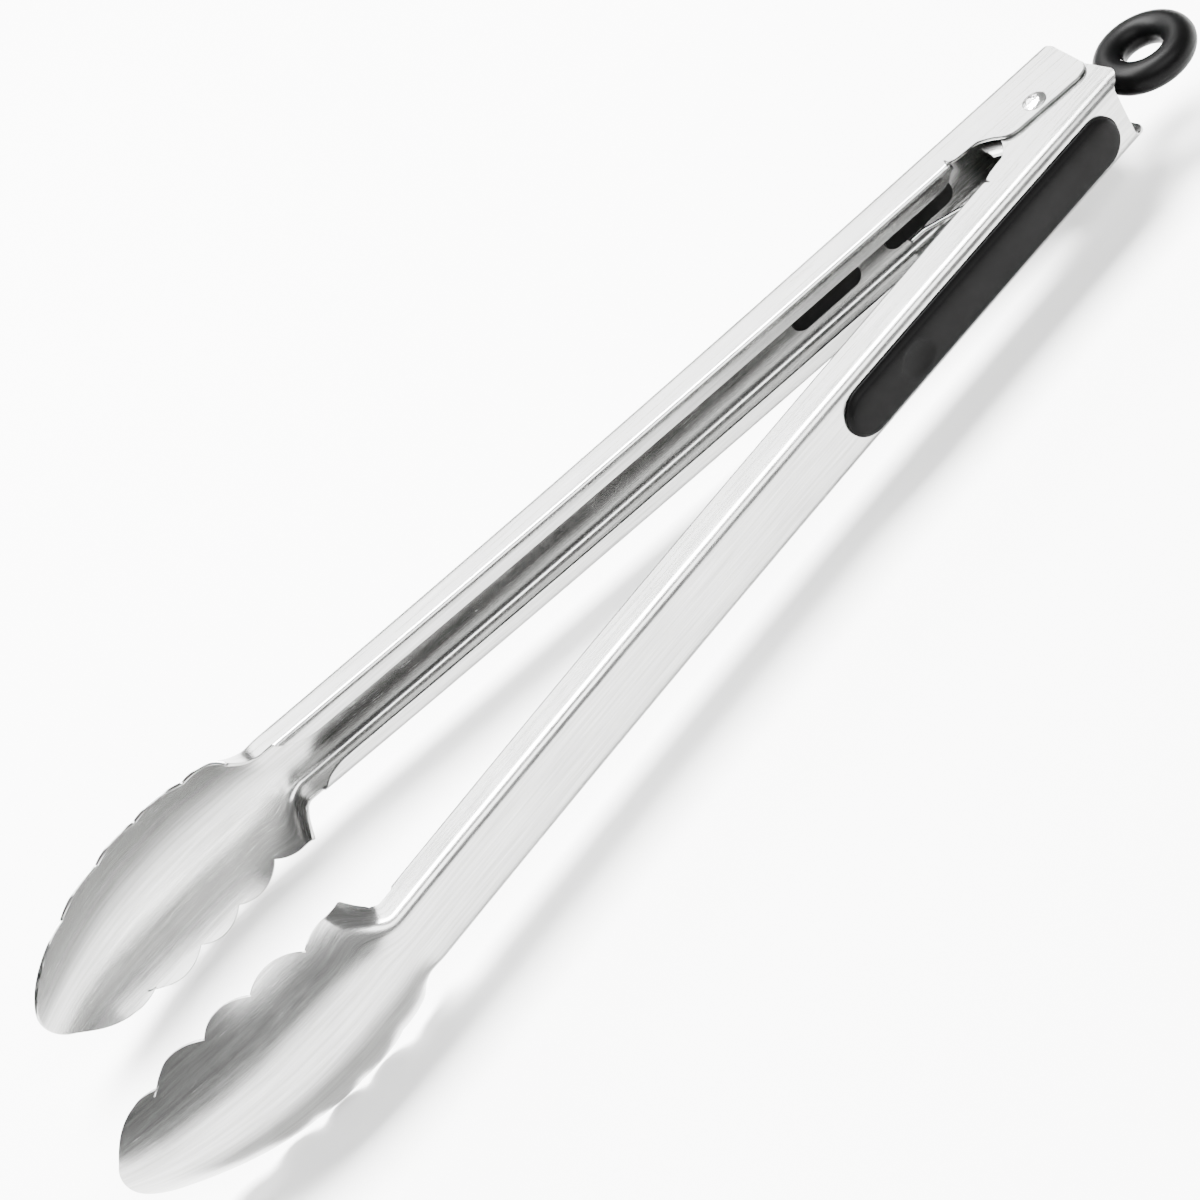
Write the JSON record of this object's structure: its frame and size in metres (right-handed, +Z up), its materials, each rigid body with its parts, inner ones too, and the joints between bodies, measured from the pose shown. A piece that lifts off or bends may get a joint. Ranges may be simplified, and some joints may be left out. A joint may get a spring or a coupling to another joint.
{
  "type": "spring loaded kitchen tongs",
  "caption": "Long steel kitchen tongs with two lipped channel arms, scalloped dished jaws, soft back grips, a torsion spring hinge, a pull lock slide and a rubber hanging ring.",
  "frame": {"origin": "middle of the underside of the bounding box with the tongs lying on their side, open as at rest", "axes": "X runs from the hanging ring to the jaw tips, halfway between the open arms; Y points from the far arm to the near arm; Z runs up along the hinge axis"},
  "size_m": [0.412, 0.1036, 0.0507],
  "materials": {
    "brushed_sheet": "brushed along the arm",
    "soft_grip": "matt soft touch",
    "grip_core": "fine moulded",
    "rivet_steel": "peened",
    "bush_steel": "turned",
    "spring_wire": "drawn wire",
    "slide_steel": "satin",
    "ring_rubber": "matt moulded"
  },
  "bodies": {
    "far_side": {"far_arm": "brushed_sheet", "far_grip": "soft_grip", "far_grip_core": "grip_core", "hinge_rivet": "rivet_steel", "spacer_bush": "bush_steel", "return_spring": "spring_wire"},
    "near_side": {"near_arm": "brushed_sheet", "near_grip": "soft_grip", "near_grip_core": "grip_core"},
    "lock": {"lock_slide": "slide_steel", "hang_ring": "ring_rubber"}
  },
  "joints": [
    {"name": "hinge", "type": "hinge", "parent": "far_side", "child": "near_side", "pos_m": [-0.15852, 0, 0.02538], "axis": [0, 0, 1], "range_deg": [-10.6, 0], "stiffness_Nm_per_rad": 1.2, "springref_deg": 20.05, "deforming": ["return_spring"]},
    {"name": "lock_pull", "type": "slide", "parent": "far_side", "child": "lock", "axis": [-0.9929, 0.1186, 0], "range_m": [0, 0.009]}
  ]
}
